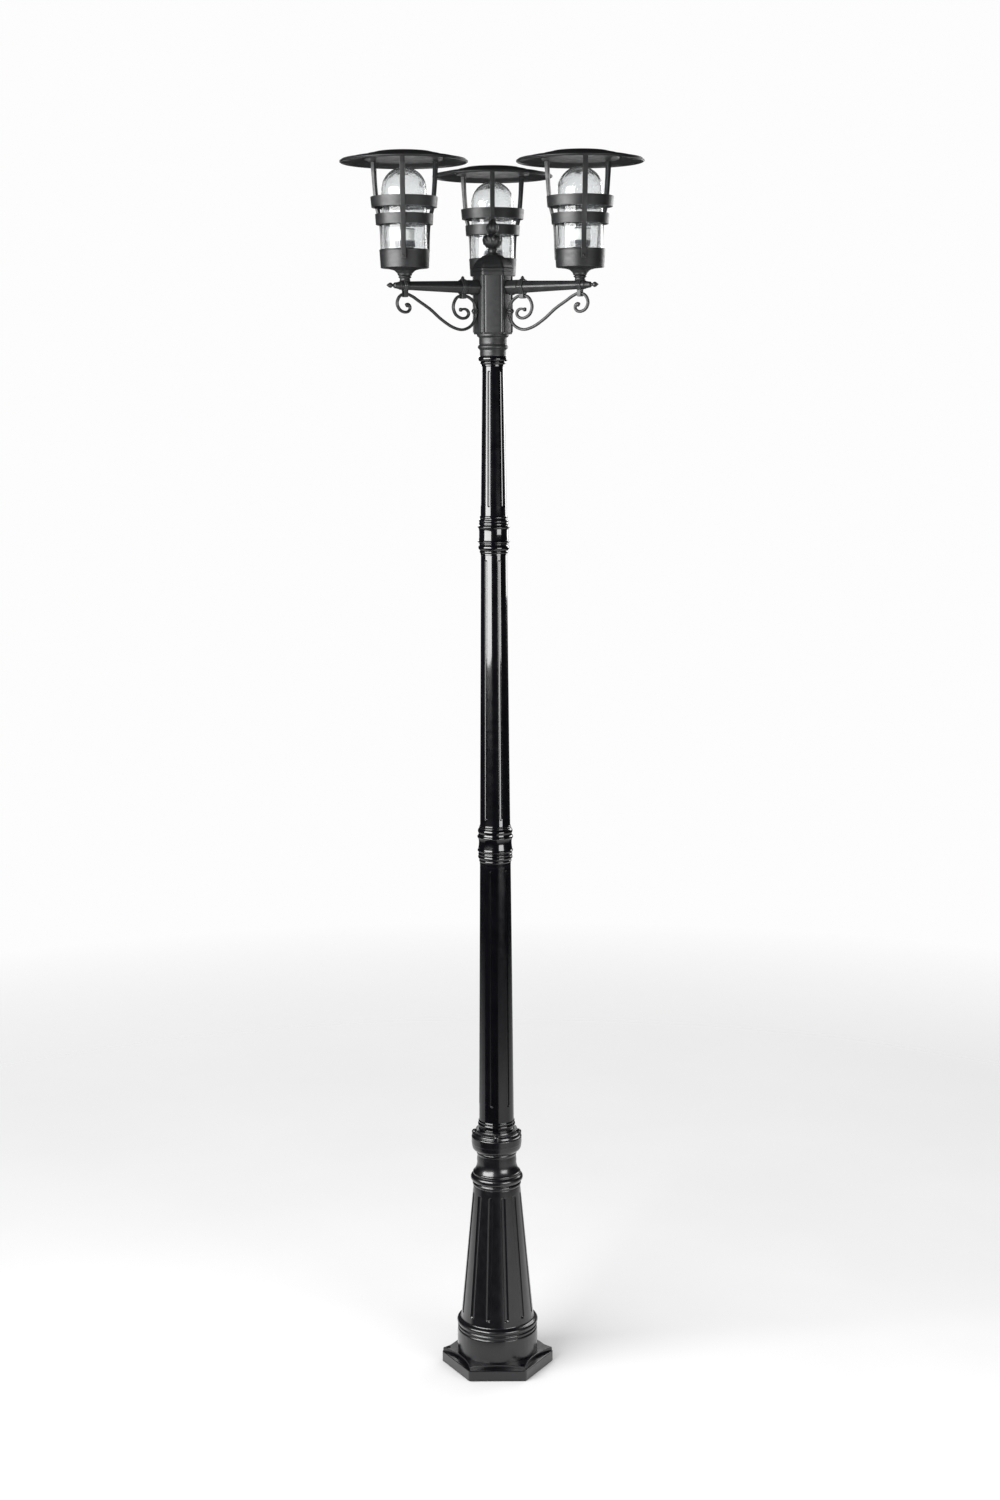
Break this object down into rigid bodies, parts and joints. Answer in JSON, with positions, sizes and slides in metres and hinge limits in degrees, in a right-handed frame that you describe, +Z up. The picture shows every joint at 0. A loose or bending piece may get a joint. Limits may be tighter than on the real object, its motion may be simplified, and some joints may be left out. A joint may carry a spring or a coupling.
{
  "type": "street lamp post",
  "caption": "Fluted black lamp post on a hexagonal foot, with scrolled arms carrying caged glass lanterns under wide flat roofs.",
  "frame": {"origin": "centre of the foot's underside, on the ground and on the post's axis", "axes": "+Z up along the post; -Y is the front, the side between the left and right arms; +X to the right seen from the front"},
  "size_m": [0.6133, 0.5642, 2.623],
  "materials": {
    "gloss_black_paint": "gloss black enamel on cast metal",
    "satin_black_paint": "satin charcoal black powder coat with a fine grain",
    "steel": "zinc plated",
    "ceramic": "glazed white ceramic",
    "dark_plastic": "moulded black",
    "gasket_rubber": "matt",
    "clear_glass": "clear, with seed bubbles"
  },
  "bodies": {
    "post": {"pedestal": "gloss_black_paint", "base_collar": "gloss_black_paint", "lower_shaft": "gloss_black_paint", "lower_coupling": "gloss_black_paint", "middle_shaft": "gloss_black_paint", "upper_coupling": "gloss_black_paint", "upper_shaft": "gloss_black_paint", "post_top_collar": "gloss_black_paint", "hub_neck": "satin_black_paint", "hub": "satin_black_paint", "hub_cap": "satin_black_paint", "finial": "satin_black_paint", "tie_rod": "steel", "tie_rod_nut": "steel", "terminal_block": "dark_plastic", "right_arm": "satin_black_paint", "right_scroll": "satin_black_paint", "right_inner_clip": "satin_black_paint", "right_outer_clip": "satin_black_paint", "right_hub_clip": "satin_black_paint", "right_clip_bolt": "satin_black_paint", "right_stem": "satin_black_paint", "right_cup": "satin_black_paint", "right_gasket": "gasket_rubber", "right_glass": "clear_glass", "right_holder_base": "dark_plastic", "right_lamp_holder": "ceramic", "rear_arm": "satin_black_paint", "rear_scroll": "satin_black_paint", "rear_inner_clip": "satin_black_paint", "rear_outer_clip": "satin_black_paint", "rear_hub_clip": "satin_black_paint", "rear_clip_bolt": "satin_black_paint", "rear_stem": "satin_black_paint", "rear_cup": "satin_black_paint", "rear_gasket": "gasket_rubber", "rear_glass": "clear_glass", "rear_holder_base": "dark_plastic", "rear_lamp_holder": "ceramic", "left_arm": "satin_black_paint", "left_scroll": "satin_black_paint", "left_inner_clip": "satin_black_paint", "left_outer_clip": "satin_black_paint", "left_hub_clip": "satin_black_paint", "left_clip_bolt": "satin_black_paint", "left_stem": "satin_black_paint", "left_cup": "satin_black_paint", "left_gasket": "gasket_rubber", "left_glass": "clear_glass", "left_holder_base": "dark_plastic", "left_lamp_holder": "ceramic"},
    "right_top": {"right_cage": "satin_black_paint", "right_roof_tray": "satin_black_paint", "right_roof": "satin_black_paint"},
    "rear_top": {"rear_cage": "satin_black_paint", "rear_roof_tray": "satin_black_paint", "rear_roof": "satin_black_paint"},
    "left_top": {"left_cage": "satin_black_paint", "left_roof_tray": "satin_black_paint", "left_roof": "satin_black_paint"}
  },
  "joints": [
    {"name": "right_top_lift", "type": "slide", "parent": "post", "child": "right_top", "axis": [0, 0, 1], "range_m": [0, 0.22]},
    {"name": "rear_top_lift", "type": "slide", "parent": "post", "child": "rear_top", "axis": [0, 0, 1], "range_m": [0, 0.22]},
    {"name": "left_top_lift", "type": "slide", "parent": "post", "child": "left_top", "axis": [0, 0, 1], "range_m": [0, 0.22]}
  ]
}
